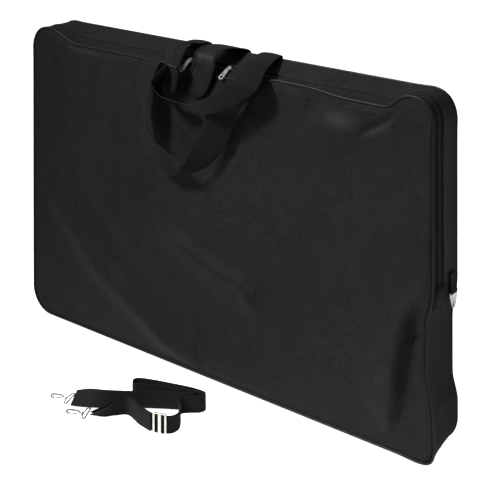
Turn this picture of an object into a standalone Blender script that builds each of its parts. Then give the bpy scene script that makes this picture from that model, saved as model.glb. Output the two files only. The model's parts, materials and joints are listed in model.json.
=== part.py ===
"""A large zipped portfolio case with two carrying handles, and its detachable shoulder strap.

The case stands on its long bottom edge. X runs along its length, its front faces -Y, and the origin is
the centre of its bottom. The strap lies folded on the ground in front of it. Lengths are in metres.
"""

import math

import bmesh
import bpy
import numpy as np
from mathutils import Matrix, Vector

# The case
LENGTH = 1.25
HEIGHT = 0.78
DEPTH = 0.11
CORNER = 0.068
GAP = 0.0003
HALF_L = LENGTH / 2
HALF_D = DEPTH / 2
PIPING_R = 0.0035
PANEL_T = 0.004
PANEL_INSET = 2 * PIPING_R + GAP
PANEL_Y = HALF_D - PIPING_R + PANEL_T / 4
GUSSET_T = 0.0025
GUSSET_INSET = 0.003
GUSSET_Y = HALF_D - 2 * PIPING_R - GAP
ARC_STEPS = 10
TOP_STEPS = 22

# The cloth sags along the top between the corners, most at the front and not at all at the back
SAG = 0.024
SAG_ENDS = (-0.557, -0.450, 0.500, 0.557)
SAG_FULL_Y = -0.021
SAG_NONE_Y = 0.048
FRONT_SAG = 0.006
ZIP_FRONT_Y = -0.0305

# The zip, measured forwards from the seam behind it
ZIP_END_Z = 0.37
SEAM_Y = -0.009
TAPE_T = 0.001
TAPE_INSET = 0.0035
COIL_T = 0.0026
COIL_INSET = 0.0024
COIL_REAR_Y = (-0.0248, -0.0215)
COIL_FRONT_Y = (-0.0293, -0.0260)
SLIDER_LENGTH = 0.014
SLIDER_X = {"left": -0.074, "right": 0.052}
PULL_LENGTH = 0.043
PULL_WIDTH = 0.012
PULL_T = 0.0016
PULL_DROOP = 20.0

# Webbing
HANDLE_T = 0.0024
STRAP_WIDTH = 0.040
STRAP_T = 0.0018
FLAP_T = 0.0022
FLAP_HALF = 0.034
BINDING = 0.009
PAD_T = 0.0011

# The carrying rings at the sides
RING_Y = 0.0295
RING_Z = 0.349
RING_WEB = 0.025
RING_TOP = 0.035
RING_T = 0.0016
RING_DROP = 0.036
LOOP_T = 0.0015
LOOP_R = 0.0019

COLOURS = {
    "fabric": ((0.016, 0.016, 0.017), 0.72, 0.0),
    "piping": ((0.006, 0.007, 0.010), 0.35, 0.0),
    "webbing": ((0.011, 0.010, 0.011), 0.80, 0.0),
    "zip_tape": ((0.010, 0.009, 0.009), 0.75, 0.0),
    "zip_coil": ((0.012, 0.012, 0.013), 0.40, 0.0),
    "nickel": ((0.72, 0.70, 0.66), 0.22, 1.0),
    "hook_tape": ((0.012, 0.012, 0.012), 0.9, 0.0),
}


# Helpers


def material(slot):
    """The Principled material of one slot, made once."""
    found = bpy.data.materials.get(slot)
    if found:
        return found
    colour, roughness, metallic = COLOURS[slot]
    made = bpy.data.materials.new(slot)
    made.use_nodes = True
    shader = made.node_tree.nodes["Principled BSDF"]
    shader.inputs["Base Color"].default_value = (*colour, 1)
    shader.inputs["Roughness"].default_value = roughness
    shader.inputs["Metallic"].default_value = metallic
    return made


def place(name, bm, slot, smooth=False):
    """Turns a bmesh into a named object."""
    bmesh.ops.recalc_face_normals(bm, faces=bm.faces)
    mesh = bpy.data.meshes.new(name)
    bm.to_mesh(mesh)
    bm.free()
    if smooth:
        mesh.shade_smooth()
        mesh.set_sharp_from_angle(angle=math.radians(40))
    mesh.materials.append(material(slot))
    thing = bpy.data.objects.new(name, mesh)
    bpy.context.scene.collection.objects.link(thing)
    return thing


def set_origin(thing, point):
    """Moves an object's origin to a joint's axis and leaves its shape where it is."""
    thing.data.transform(Matrix.Translation(-Vector(point)))
    thing.location = point


def loft(rings, closed=False):
    """A solid through equal rings of points: capped at both ends, or joined end to start."""
    bm = bmesh.new()
    rows = [[bm.verts.new(p) for p in ring] for ring in rings]
    spans = list(zip(rows, rows[1:]))
    if closed:
        spans.append((rows[-1], rows[0]))
    for a, b in spans:
        for i in range(len(a)):
            j = (i + 1) % len(a)
            bm.faces.new((a[i], a[j], b[j], b[i]))
    if not closed:
        bm.faces.new(rows[0][::-1])
        bm.faces.new(rows[-1])
    bmesh.ops.triangulate(bm, faces=[f for f in bm.faces if len(f.verts) > 4])
    return bm


def eased(t):
    """0 to 1 with level ends."""
    t = min(max(t, 0), 1)
    return t * t * (3 - 2 * t)


def sag(x, y):
    """How far the top edge hangs below a straight line."""
    left, left_full, right_full, right = SAG_ENDS
    along = eased((x - left) / (left_full - left)) * eased((right - x) / (right - right_full))
    across = min(max((SAG_NONE_Y - y) / (SAG_NONE_Y - SAG_FULL_Y), 0), 1)
    before_zip = min(max((ZIP_FRONT_Y - y) / (ZIP_FRONT_Y + GUSSET_Y), 0), 1)
    return along * (SAG * across + FRONT_SAG * before_zip)


def outline(inset, part):
    """Points (x, z) round the case's side, that far inside its outer edge: 'upper', 'lower' or 'whole'."""
    r = CORNER - inset
    cx = HALF_L - CORNER
    centres = [(cx, HEIGHT - CORNER, 0), (-cx, HEIGHT - CORNER, 90), (-cx, CORNER, 180), (cx, CORNER, 270)]
    side = HALF_L - inset
    chosen = {"upper": centres[:2], "lower": centres[2:], "whole": centres}[part]
    points = []
    for x, z, start in chosen:
        for k in range(ARC_STEPS + 1):
            a = math.radians(start + 90 * k / ARC_STEPS)
            points.append((x + r * math.cos(a), z + r * math.sin(a)))
    if part == "upper":
        flat = [(cx - 2 * cx * k / TOP_STEPS, HEIGHT - inset) for k in range(1, TOP_STEPS)]
        points = points[: ARC_STEPS + 1] + flat + points[ARC_STEPS + 1 :]
        return [(side, ZIP_END_Z + GAP / 2)] + points + [(-side, ZIP_END_Z + GAP / 2)]
    if part == "lower":
        return [(-side, ZIP_END_Z - GAP / 2)] + points + [(side, ZIP_END_Z - GAP / 2)]
    return points


def band(name, slot, inset, thickness, y_range, part):
    """A flat strip that runs round the case's edge, its width along Y."""
    low, high = y_range
    outer, inner = outline(inset, part), outline(inset + thickness, part)
    rings = []
    for (ox, oz), (ix, iz) in zip(outer, inner):
        a, b = (sag(ox, low), sag(ox, high)) if part == "upper" else (0, 0)
        rings.append([(ox, low, oz - a), (ox, high, oz - b), (ix, high, iz - b), (ix, low, iz - a)])
    return place(name, loft(rings, part == "whole"), slot)


def piping(name, y, part):
    """The round cord sewn into the edge of a panel."""
    path = outline(PIPING_R, part)
    inside = outline(2 * PIPING_R, part)
    rings = []
    for (x, z), (ix, iz) in zip(path, inside):
        out = Vector((x - ix, 0, z - iz)).normalized()
        drop = sag(x, y) if part == "upper" else 0
        ring = []
        for k in range(8):
            a = math.tau * (k + 0.5) / 8
            p = Vector((x, y, z - drop)) + PIPING_R * (math.cos(a) * out + math.sin(a) * Vector((0, 1, 0)))
            ring.append(p)
        rings.append(ring)
    return place(name, loft(rings, part == "whole"), "piping", smooth=True)


def slab(name, slot, points, axis, low, high, holes=()):
    """A flat plate with holes. Its points are in the plane across the axis, and it runs from low to high."""

    def at(p, depth):
        return (depth, p[0], p[1]) if axis == "X" else (p[0], depth, p[1]) if axis == "Y" else (p[0], p[1], depth)

    bm = bmesh.new()
    edges = []
    for loop in (points, *holes):
        verts = [bm.verts.new(at(p, low)) for p in loop]
        edges += [bm.edges.new((verts[i - 1], verts[i])) for i in range(len(verts))]
    bmesh.ops.triangle_fill(bm, use_beauty=True, edges=edges)
    grown = bmesh.ops.extrude_face_region(bm, geom=bm.faces[:])
    moved = [v for v in grown["geom"] if isinstance(v, bmesh.types.BMVert)]
    shift = Vector(at((0, 0), high - low))
    bmesh.ops.translate(bm, verts=moved, vec=shift)
    return place(name, bm, slot)


def smooth_line(points, steps):
    """A Catmull-Rom curve through the points, with that many steps between neighbours."""
    p = [np.array(q, float) for q in points]
    p = [2 * p[0] - p[1]] + p + [2 * p[-1] - p[-2]]
    line = []
    for i in range(1, len(p) - 2):
        a, b, c, d = p[i - 1], p[i], p[i + 1], p[i + 2]
        for k in range(steps):
            t = k / steps
            line.append(
                0.5 * (2 * b + (c - a) * t + (2 * a - 5 * b + 4 * c - d) * t**2 + (3 * b - a - 3 * c + d) * t**3)
            )
    line.append(p[-2])
    return line


def ribbon(name, slot, edge_a, edge_b, thickness, steps=3, shift=0.0):
    """A strip of webbing or cloth between two edges, as thick as given, moved along its normal by shift."""
    a, b = smooth_line(edge_a, steps), smooth_line(edge_b, steps)
    middle = [(p + q) / 2 for p, q in zip(a, b)]
    rings = []
    for i, (p, q) in enumerate(zip(a, b)):
        along = middle[min(i + 1, len(a) - 1)] - middle[max(i - 1, 0)]
        normal = np.cross(along, q - p)
        normal /= np.linalg.norm(normal)
        up, down = normal * (shift + thickness / 2), normal * (shift - thickness / 2)
        rings.append([p + up, q + up, q + down, p + down])
    return place(name, loft(rings), slot)


def rounded(cx, cz, half_w, half_h, r, steps=5):
    """A rectangle with round corners, as points."""
    points = []
    for sx, sz, start in ((1, 1, 0), (-1, 1, 90), (-1, -1, 180), (1, -1, 270)):
        for k in range(steps + 1):
            a = math.radians(start + 90 * k / steps)
            points.append((cx + sx * (half_w - r) + r * math.cos(a), cz + sz * (half_h - r) + r * math.sin(a)))
    return points


def circle(cx, cz, r, steps=14):
    """A round hole or edge, as points."""
    return [(cx + r * math.cos(math.tau * k / steps), cz + r * math.sin(math.tau * k / steps)) for k in range(steps)]


def mm(*points):
    """Points given in millimetres, in metres."""
    return [tuple(c / 1000 for c in p) for p in points]


# The case's shell


def make_panels():
    """The back panel in one piece, and the front panel split at the height where the zip ends."""
    back = (PANEL_Y - PANEL_T, PANEL_Y)
    slab("back_panel", "fabric", outline(PANEL_INSET, "whole"), "Y", *back)
    front = (-PANEL_Y, PANEL_T - PANEL_Y)
    slab("front_panel_lower", "fabric", outline(PANEL_INSET, "lower"), "Y", *front)
    edge = [(x, z - sag(x, -HALF_D)) for x, z in outline(PANEL_INSET, "upper")]
    upper = slab("front_panel_upper", "fabric", edge, "Y", *front)
    set_origin(upper, (0, -HALF_D, ZIP_END_Z))


def make_gusset():
    """The strip between the panels: full width below the zip, and behind the zip above it."""
    band("gusset_lower", "fabric", GUSSET_INSET, GUSSET_T, (-GUSSET_Y, GUSSET_Y), "lower")
    band("gusset_upper", "fabric", GUSSET_INSET, GUSSET_T, (SEAM_Y, GUSSET_Y), "upper")


def make_piping():
    """Piping round both panels. The front cord is in two lengths, which part as the case opens."""
    y = HALF_D - PIPING_R
    piping("back_piping", y, "whole")
    piping("front_piping_lower", -y, "lower")
    set_origin(piping("front_piping_upper", -y, "upper"), (0, -HALF_D, ZIP_END_Z))


def make_zip():
    """Two tapes, each with its half of the coil, and the tabs that cover the zip's ends."""
    hinge = (0, -HALF_D, ZIP_END_Z)
    rear_tape = (COIL_REAR_Y[1] + GAP, SEAM_Y - GAP)
    front_tape = (-GUSSET_Y, COIL_FRONT_Y[0] - GAP)
    band("zip_tape_rear", "zip_tape", TAPE_INSET, TAPE_T, rear_tape, "upper")
    band("zip_coil_rear", "zip_coil", COIL_INSET, COIL_T, COIL_REAR_Y, "upper")
    set_origin(band("zip_tape_front", "zip_tape", TAPE_INSET, TAPE_T, front_tape, "upper"), hinge)
    set_origin(band("zip_coil_front", "zip_coil", COIL_INSET, COIL_T, COIL_FRONT_Y, "upper"), hinge)
    middle = (GUSSET_Y + SEAM_Y) / 2 - GUSSET_Y
    half = (GUSSET_Y + SEAM_Y) / 2
    shape = rounded(middle, ZIP_END_Z - 0.004, half, 0.026, 0.014)
    low = HALF_L - COIL_INSET + GAP
    for side, sign in (("left", -1), ("right", 1)):
        slab(f"zip_end_tab_{side}", "zip_tape", shape, "X", sign * low, sign * (low + 0.0014))


def make_sliders():
    """The two sliders that meet near the handles, each with a long pull that hangs over the front."""
    top = HEIGHT - SAG - COIL_INSET + 0.0008
    under = HEIGHT - SAG - COIL_INSET - COIL_T - 0.0008
    seam = (COIL_REAR_Y[0] + COIL_FRONT_Y[1]) / 2
    front, back = COIL_FRONT_Y[0] - 0.001, COIL_REAR_Y[1] + 0.001
    pivot = (seam - 0.002, top + 0.0066)
    for side, x in SLIDER_X.items():
        profile = [
            (front, under - 0.0012), (back, under - 0.0012), (back, under), (seam + 0.00035, under),
            (seam + 0.00035, top), (back, top), (back, top + 0.0016), (pivot[0] + 0.0042, top + 0.0016),
            (pivot[0] + 0.0042, top + 0.0090), (pivot[0] - 0.0042, top + 0.0090),
            (pivot[0] - 0.0042, top + 0.0016), (front, top + 0.0016), (front, top),
            (seam - 0.00035, top), (seam - 0.00035, under), (front, under),
        ]
        eye = rounded(pivot[0], pivot[1], 0.0026, 0.0022, 0.001, steps=2)
        half = SLIDER_LENGTH / 2
        body = slab(f"zip_slider_{side}", "nickel", profile, "X", x - half, x + half, [eye])
        narrow_bridge(body, x, top + 0.0017)
        make_pull(side, x, pivot)


def narrow_bridge(body, x, above):
    """Narrows the bridge that the pull hangs on, which stands above the slider's top plate."""
    cutter_bm = bmesh.new()
    for sign in (-1, 1):
        shift = Matrix.Translation((x + sign * (0.0016 + 0.01), -0.02, above + 0.01))
        bmesh.ops.create_cube(cutter_bm, size=0.02, matrix=shift @ Matrix.Diagonal((1, 2, 1, 1)))
    cutter = place(f"cut_{body.name}", cutter_bm, "nickel")
    cutter.hide_render = True
    cutter.display_type = "WIRE"
    cut = body.modifiers.new("bridge", "BOOLEAN")
    cut.operation = "DIFFERENCE"
    cut.object = cutter


def make_pull(side, x, pivot):
    """A flat pull with a slot for the slider's bridge and a round hole at its tip."""
    start = -0.0012
    half = PULL_WIDTH / 2
    tip = PULL_LENGTH - half
    shape = [(-half, start)] + [
        (half * math.cos(math.radians(a)), tip + half * math.sin(math.radians(a))) for a in range(180, -1, -20)
    ]
    shape.append((half, start))
    slot_hole = rounded(0, 0.0042, 0.0022, 0.0032, 0.001, steps=2)
    tip_hole = circle(0, tip - 0.0008, 0.0022)
    pull = slab(f"zip_pull_{side}", "nickel", shape, "Z", -PULL_T / 2, PULL_T / 2, [slot_hole, tip_hole])
    droop = math.radians(PULL_DROOP)
    turn = Matrix.Rotation(math.pi, 4, "Z")
    tilt = Matrix.Rotation(droop, 4, "X")
    pull.data.transform(tilt @ turn)
    pull.location = (x, pivot[0], pivot[1])


# The flap that closes over the zip


def flap_surface():
    """Left and right edges of the flap's middle line, from the back seam over the top to near its tip."""
    left = mm((-19, 58, 764), (-22, 57, 782), (-32, 26, 798), (-38, -18, 800), (-38, -52, 789), (-37, -61.5, 772),
              (-45, -60, 752), (-59, -59, 729), (-67, -59, 715), (-76, -59, 700))
    right = mm((49, 58, 764), (46, 57, 782), (36, 26, 797), (30, -18, 800), (30, -52, 786), (31, -61.5, 762),
               (15, -60, 718), (0, -59, 695), (-8, -59, 681), (-17, -59, 666))
    return smooth_line(left, 4), smooth_line(right, 4)


def make_closure_flap():
    """The bound cloth flap, with the two pads that hold its tip to the front panel."""
    left, right = flap_surface()
    middle = [(a + b) / 2 for a, b in zip(left, right)]
    run = np.concatenate([[0], np.cumsum([np.linalg.norm(q - p) for p, q in zip(middle, middle[1:])])])
    total = run[-1]

    def at(s, v):
        i = min(int(np.searchsorted(run, s, "right")) - 1, len(run) - 2)
        t = (s - run[i]) / (run[i + 1] - run[i])
        a = left[i] * (1 - t) + left[i + 1] * t
        b = right[i] * (1 - t) + right[i + 1] * t
        c = (a + b) / 2
        return c + (b - c) / np.linalg.norm(b - c) * v

    def half_at(s, r):
        over = s - (total - FLAP_HALF)
        return r if over <= 0 else math.sqrt(max(r * r - over * over, 0))

    cloth_r = FLAP_HALF - BINDING - GAP
    stops = [s for s in run if s < total - FLAP_HALF] + [
        total - FLAP_HALF + cloth_r * math.sin(math.radians(a)) for a in range(0, 84, 12)
    ]
    cloth = ribbon(
        "closure_flap", "fabric",
        [at(s, -half_at(s, cloth_r)) for s in stops], [at(s, half_at(s, cloth_r)) for s in stops], FLAP_T, steps=1,
    )
    straight = [s for s in run if s < total - FLAP_HALF]
    inner_r = FLAP_HALF - BINDING
    outer, inner = [], []
    for s in straight:
        outer.append(at(s, -FLAP_HALF))
        inner.append(at(s, -inner_r))
    for k in range(0, 19):
        a = math.radians(180 - 10 * k)
        centre = total - FLAP_HALF
        outer.append(at(centre + FLAP_HALF * math.sin(a), FLAP_HALF * math.cos(a)))
        inner.append(at(centre + inner_r * math.sin(a), inner_r * math.cos(a)))
    for s in reversed(straight):
        outer.append(at(s, FLAP_HALF))
        inner.append(at(s, inner_r))
    binding = ribbon("closure_flap_binding", "webbing", outer, inner, FLAP_T + 0.0008, steps=1)
    pad_line = [at(total - FLAP_HALF * k, 0) for k in (1.35, 0.3)]
    pads = make_pads(pad_line)
    for thing in (cloth, binding, pads):
        set_origin(thing, (0, HALF_D + 0.003, HEIGHT - 0.005))


def make_pads(line):
    """Hook tape under the flap's tip, and loop tape on the panel behind it."""
    (x0, _, z0), (x1, _, z1) = line
    turn = math.atan2(z1 - z0, x1 - x0) + math.pi / 2
    cx, cz = (x0 + x1) / 2, (z0 + z1) / 2
    shape = []
    for u, w in rounded(0, 0, 0.019, 0.017, 0.003, steps=2):
        shape.append((cx + u * math.cos(turn) - w * math.sin(turn), cz + u * math.sin(turn) + w * math.cos(turn)))
    face = -PANEL_Y
    loop_out = face - GAP - PAD_T
    slab("flap_loop_pad", "hook_tape", shape, "Y", loop_out, face - GAP)
    return slab("flap_hook_pad", "hook_tape", shape, "Y", loop_out - GAP - PAD_T, loop_out - GAP)


# The carrying handles

FRONT_HANDLE_OUTER = mm(
    (-190, -58, 740), (-192, -77, 742), (-200, -90, 695), (-200, -74, 640), (-191, -70, 592), (-186, -86, 556),
    (-150, -92, 513), (-96, -86, 483), (-58, -84, 487), (-4, -76, 510), (37, -74, 540), (64, -74, 573),
    (95, -76, 625), (114, -80, 668), (143, -86, 702), (170, -77, 738), (178, -58, 740),
)
FRONT_HANDLE_INNER = mm(
    (-130, -58, 740), (-132, -79, 742), (-142, -100, 704), (-149, -109, 646), (-154, -110, 606), (-131, -109, 570),
    (-99, -109, 555), (-64, -107, 541), (-33, -109, 528), (-15, -107, 553), (8, -106, 593), (18, -105, 613),
    (28, -104, 638), (48, -102, 682), (84, -99, 716), (111, -79, 741), (118, -58, 740),
)
BACK_HANDLE_OUTER = mm(
    (-140, 60, 764), (-138, 57, 783), (-142, 15, 789), (-134, -30, 786), (-120, -62, 784), (-112, -82, 764),
    (-112, -76, 738), (-118, -76, 712), (-132, -74, 688), (-120, -72, 666), (-80, -74, 662), (-38, -76, 658),
    (8, -104, 655), (66, -118, 669), (114, -112, 690), (152, -107, 712), (188, -98, 744), (180, -58, 774),
    (162, -5, 782), (145, 57, 784), (142, 60, 764),
)
BACK_HANDLE_INNER = mm(
    (-80, 60, 764), (-79, 57, 784), (-86, 20, 797), (-90, -28, 800), (-78, -82, 794), (-64, -112, 774),
    (-87, -119, 755), (-116, -120, 728), (-126, -119, 708), (-106, -117, 688), (-84, -117, 681), (-45, -117, 678),
    (-2, -119, 680), (36, -125, 696), (70, -127, 714), (108, -125, 744), (138, -112, 768), (126, -60, 790),
    (106, -5, 790), (90, 57, 784), (87, 60, 764),
)


def make_handles():
    """Two loops of wide webbing that hang over the front."""
    front = ribbon("front_handle_webbing", "webbing", FRONT_HANDLE_OUTER, FRONT_HANDLE_INNER, HANDLE_T, steps=2)
    set_origin(front, (0, -HALF_D - 0.003, HEIGHT - SAG - FRONT_SAG + 0.002))
    back = ribbon("back_handle_webbing", "webbing", BACK_HANDLE_OUTER, BACK_HANDLE_INNER, HANDLE_T, steps=2)
    set_origin(back, (0, HALF_D + 0.003, HEIGHT - 0.012))


# The rings at the sides, which the shoulder strap's hooks hold


def make_rings():
    """At each side a folded loop of webbing, and the flat metal ring that hangs in it."""
    inner_x = HALF_L - GUSSET_INSET + GAP + LOOP_T / 2
    bend = LOOP_R + LOOP_T / 2
    centre_x = inner_x + bend
    for side, sign in (("left", -1), ("right", 1)):
        route = [(inner_x, RING_Z + 0.042), (inner_x, RING_Z + 0.024), (inner_x, RING_Z + 0.004)]
        route += [
            (centre_x - bend * math.cos(math.radians(a)), RING_Z - bend * math.sin(math.radians(a)))
            for a in range(0, 181, 20)
        ]
        route += [(centre_x + bend, RING_Z + 0.004), (inner_x + LOOP_T + GAP, RING_Z + 0.018)]
        route += [(inner_x + LOOP_T + GAP, RING_Z + 0.042)]
        low, high = RING_Y - RING_WEB / 2, RING_Y + RING_WEB / 2
        rings = []
        for i, (x, z) in enumerate(route):
            ax, az = route[max(i - 1, 0)]
            bx, bz = route[min(i + 1, len(route) - 1)]
            n = Vector((bz - az, 0, ax - bx)).normalized() * (LOOP_T / 2)
            rings.append([
                (sign * (x + n.x), low, z + n.z), (sign * (x + n.x), high, z + n.z),
                (sign * (x - n.x), high, z - n.z), (sign * (x - n.x), low, z - n.z),
            ])
        place(f"ring_loop_{side}", loft(rings), "webbing")
        make_ring_plate(side, sign * centre_x)


def make_ring_plate(side, x):
    """A flat ring: a bar and slot for the webbing, and a round hole near its tip."""
    top = RING_Z + 0.0014
    tip_r = 0.0085
    tip_z = RING_Z - RING_DROP + tip_r
    half = RING_TOP / 2
    shape = [(RING_Y - half, RING_Z - 0.006), (RING_Y - half, top), (RING_Y + half, top)]
    shape += [(RING_Y + half, RING_Z - 0.006)]
    shape += [
        (RING_Y + tip_r * math.cos(math.radians(a)), tip_z + tip_r * math.sin(math.radians(a)))
        for a in range(-20, -161, -20)
    ]
    slot_half = RING_WEB / 2 + 0.001
    slot_top, slot_low = RING_Z - 0.0014, RING_Z - 0.0046
    slot_hole = [(RING_Y - slot_half, slot_low), (RING_Y + slot_half, slot_low)]
    slot_hole += [(RING_Y + slot_half, slot_top), (RING_Y - slot_half, slot_top)]
    hole = circle(RING_Y, tip_z + 0.001, 0.0058)
    plate = slab(f"ring_plate_{side}", "nickel", shape, "X", x - RING_T / 2, x + RING_T / 2, [slot_hole, hole])
    set_origin(plate, (x, RING_Y, RING_Z))


# The shoulder strap, folded on the ground

STRAP_ROUTE = mm(
    (-176, -331), (-140, -319), (-104, -305), (-62, -276), (-10, -238), (40, -206), (66, -190),
    (74, -182), (70, -176), (50, -181), (0, -203), (-40, -222), (-68, -236),
    (-80, -233), (-84, -222), (-76, -212), (-50, -200), (0, -184), (50, -170), (84, -166),
    (92, -174), (86, -188), (66, -205), (58, -218), (66, -234), (88, -254), (97, -276), (88, -296), (52, -308),
    (10, -302), (-36, -289), (-60, -312), (-72, -334), (-98, -351),
)
LEAN = (0.75, 0.45, 0.12)


def strap_edges(route, lean_start, lean_end):
    """The strap stands on one edge, and leans over towards its ends, where the hooks pull it flat."""
    low, high = [], []
    last = len(route) - 1
    for i, (x, y) in enumerate(route):
        ax, ay = route[max(i - 1, 0)]
        bx, by = route[min(i + 1, last)]
        across = Vector((-(by - ay), bx - ax, 0)).normalized()
        lean = max(lean_start[i] if i < len(lean_start) else 0, lean_end[last - i] if last - i < len(lean_end) else 0)
        tilt = math.radians(80) * lean
        foot = Vector((x, y, 0.0012)) - across * (STRAP_WIDTH / 2 * math.sin(tilt))
        rise = across * math.sin(tilt) + Vector((0, 0, 1)) * math.cos(tilt)
        low.append(foot)
        high.append(foot + rise * STRAP_WIDTH)
    return low, high


def make_strap():
    """One length of webbing in a loose bundle, and the doubled end that the slide buckle adjusts."""
    low, high = strap_edges(STRAP_ROUTE, LEAN, LEAN)
    ribbon("shoulder_strap_webbing", "webbing", low, high, STRAP_T, steps=3)
    count = len(STRAP_ROUTE)
    tail = STRAP_ROUTE[count - 6:]
    low, high = strap_edges(tail, (), LEAN)
    ribbon("strap_doubled_end", "webbing", low, high, STRAP_T, steps=3, shift=-0.0052)


def make_buckle():
    """A rectangular slide buckle with a middle bar, on the strap's outer loop."""
    start, end = Vector((*STRAP_ROUTE[27], 0)), Vector((*STRAP_ROUTE[28], 0))
    middle = (start + end) / 2 + Vector((0.001, 0.0012, 0))
    along = (end - start).normalized()
    outer = rounded(0, 0, 0.0165, 0.0235, 0.004, steps=3)
    window = 0.0042
    holes = [rounded(s * 0.0078, 0, window, 0.0205, 0.001, steps=2) for s in (-1, 1)]
    buckle = slab("slide_buckle", "nickel", outer, "Y", -0.0014, 0.0014, holes)
    angle = math.atan2(along.y, along.x)
    out = Vector((math.sin(angle), -math.cos(angle), 0))
    offset = -out if out.y > 0 else out
    turn = Matrix.Rotation(angle, 4, "Z")
    buckle.data.transform(turn)
    buckle.location = middle + offset * 0.0072 + Vector((0, 0, 0.0240))


# The strap's two swivel hooks

HOOKS = {
    "upper": ((-0.190, -0.3375), 199, 0.0085),
    "lower": ((-0.112, -0.3600), 206, 0.0085),
}
EYE_HALF = 0.0225
WIRE = 0.0017


def wire(name, points, radius, frame, slot="nickel", sides=8, closed=False):
    """A round metal wire along a line, placed by a matrix."""
    line = [Vector(p) for p in points]
    rings = []
    count = len(line)
    for i, p in enumerate(line):
        before = line[i - 1] if (i or closed) else line[0]
        after = line[(i + 1) % count] if (i < count - 1 or closed) else line[-1]
        along = (after - before).normalized()
        up = Vector((0, 0, 1))
        side = along.cross(up).normalized()
        rings.append([
            frame @ (p + radius * (math.cos(math.tau * k / sides) * side + math.sin(math.tau * k / sides) * up))
            for k in range(sides)
        ])
    return place(name, loft(rings, closed), slot, smooth=True)


def hook_line():
    """The hook's own middle line, from its swivel out round its nose to the tip."""
    line = [(0.0052, 0, 0), (0.012, -0.0020, 0), (0.017, -0.0066, 0), (0.026, -0.0074, 0)]
    for a in range(-60, 121, 20):
        line.append((0.034 + 0.0080 * math.cos(math.radians(a)), 0.0080 * math.sin(math.radians(a)), 0))
    return line


def make_hooks():
    """Each end of the strap has an eye, a hook that swivels in it, and a sprung gate."""
    for which, ((x, y), heading, height) in HOOKS.items():
        frame = Matrix.Translation((x, y, height)) @ Matrix.Rotation(math.radians(heading), 4, "Z")
        back, front = -0.0085, -0.0025
        eye = [(back, -EYE_HALF, 0), (back, EYE_HALF, 0), (front, EYE_HALF, 0)]
        eye += [(0.0015, 0.0060, 0), (0.0015, -0.0060, 0), (front, -EYE_HALF, 0)]
        wire(f"snap_{which}_eye", smoothed_ring(eye), WIRE, frame, closed=True)
        post = turned([(0.0035, 0.0), (0.0035, 0.0026), (0.0050, 0.0042), (0.0062, 0.0042), (0.0062, 0.0)], frame)
        body = wire(f"snap_{which}_hook", hook_line(), 0.0022, frame)
        weld(body, post)
        set_origin(body, frame.translation)
        make_gate(which, frame)


def smoothed_ring(points):
    """Rounds the corners of a closed line."""
    out = []
    count = len(points)
    for i in range(count):
        p, q, r = Vector(points[i - 1]), Vector(points[i]), Vector(points[(i + 1) % count])
        cut = min((q - p).length, (r - q).length) * 0.3
        a, b = q + (p - q).normalized() * cut, q + (r - q).normalized() * cut
        for t in (0.0, 0.5, 1.0):
            out.append(a.lerp(q, t).lerp(q.lerp(b, t), t))
    return out


def turned(profile, frame, steps=12):
    """A solid of revolution about the local X axis, from (x, radius) pairs."""
    bm = bmesh.new()
    rows = []
    for x, r in profile:
        if r == 0:
            rows.append([bm.verts.new(frame @ Vector((x, 0, 0)))])
            continue
        rows.append([
            bm.verts.new(frame @ Vector((x, r * math.cos(math.tau * k / steps), r * math.sin(math.tau * k / steps))))
            for k in range(steps)
        ])
    for a, b in zip(rows, rows[1:]):
        for k in range(steps):
            j = (k + 1) % steps
            if len(a) == 1:
                bm.faces.new((a[0], b[k], b[j]))
            elif len(b) == 1:
                bm.faces.new((a[k], a[j], b[0]))
            else:
                bm.faces.new((a[k], a[j], b[j], b[k]))
    return bm


def weld(body, extra_bm):
    """Joins a second closed shape to a body with a Boolean union."""
    extra = place(f"cut_{body.name}", extra_bm, "nickel")
    extra.hide_render = True
    extra.display_type = "WIRE"
    union = body.modifiers.new("swivel", "BOOLEAN")
    union.operation = "UNION"
    union.object = extra


def make_gate(which, frame):
    """The gate that closes the hook's mouth, turning about a pin near the swivel."""
    line = [(0.0140, 0.0034, 0), (0.0200, 0.0062, 0), (0.0262, 0.0072, 0)]
    gate = wire(f"snap_{which}_gate", line, 0.0014, frame, sides=6)
    set_origin(gate, frame @ Vector(line[0]))


def main():
    for thing in list(bpy.data.objects):
        bpy.data.objects.remove(thing, do_unlink=True)
    make_panels()
    make_gusset()
    make_piping()
    make_zip()
    make_sliders()
    make_closure_flap()
    make_handles()
    make_rings()
    make_strap()
    make_buckle()
    make_hooks()


main()
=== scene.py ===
"""Looks of a large zipped portfolio case and its folded shoulder strap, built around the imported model.

X runs along the case, its front faces -Y and +Z is up. Lengths are in metres.
"""

import json
import math

import bmesh
import bpy
import numpy as np
from mathutils import Matrix, Vector, noise


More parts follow.
